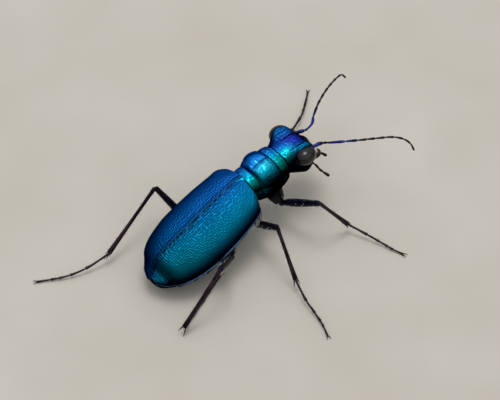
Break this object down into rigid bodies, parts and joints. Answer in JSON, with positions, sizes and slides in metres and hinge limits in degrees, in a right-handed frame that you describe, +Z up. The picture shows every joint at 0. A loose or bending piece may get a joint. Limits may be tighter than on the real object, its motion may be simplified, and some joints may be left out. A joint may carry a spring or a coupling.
{
  "type": "tiger beetle model",
  "caption": "Life-size still model of a metallic blue tiger beetle standing on six long legs, wing cases closed, feelers forward.",
  "frame": {"origin": "on the ground, below the middle of the whole animal's box", "axes": "+X is the beetle's heading, +Y its left side, +Z up"},
  "size_m": [0.024, 0.0164, 0.0053],
  "materials": {
    "wing_case": "metallic cuticle, blue to teal, finely pitted",
    "pronotum": "metallic cuticle, blue with green collars",
    "head": "metallic cuticle, violet blue, finely lined",
    "eye": "glossy facetted, grey brown",
    "labrum": "ivory horn",
    "jaw": "dark horn",
    "belly": "black violet cuticle",
    "leg": "black violet cuticle",
    "foot": "brown black cuticle",
    "feeler_base": "violet blue metallic joints",
    "feeler": "dull dark grey joints"
  },
  "bodies": {
    "root": {"wing_case_left": "wing_case", "wing_case_right": "wing_case", "scutellum": "pronotum", "hind_thorax": "belly", "abdomen": "belly", "prothorax": "pronotum", "head": "head", "eye_left": "eye", "eye_right": "eye", "labrum": "labrum", "mandible_left": "jaw", "palp_outer_left": "jaw", "palp_inner_left": "jaw", "antenna_left_root": "feeler_base", "antenna_left_middle": "feeler", "antenna_left_tip": "feeler", "mandible_right": "jaw", "palp_outer_right": "jaw", "palp_inner_right": "jaw", "antenna_right_root": "feeler_base", "antenna_right_middle": "feeler", "antenna_right_tip": "feeler", "front_left_coxa": "leg", "front_left_femur": "leg", "front_left_tibia": "leg", "front_left_tarsus": "foot", "front_right_coxa": "leg", "front_right_femur": "leg", "front_right_tibia": "leg", "front_right_tarsus": "foot", "middle_left_coxa": "leg", "middle_left_femur": "leg", "middle_left_tibia": "leg", "middle_left_tarsus": "foot", "middle_right_coxa": "leg", "middle_right_femur": "leg", "middle_right_tibia": "leg", "middle_right_tarsus": "foot", "hind_left_coxa": "leg", "hind_left_femur": "leg", "hind_left_tibia": "leg", "hind_left_tarsus": "foot", "hind_right_coxa": "leg", "hind_right_femur": "leg", "hind_right_tibia": "leg", "hind_right_tarsus": "foot"}
  },
  "joints": []
}
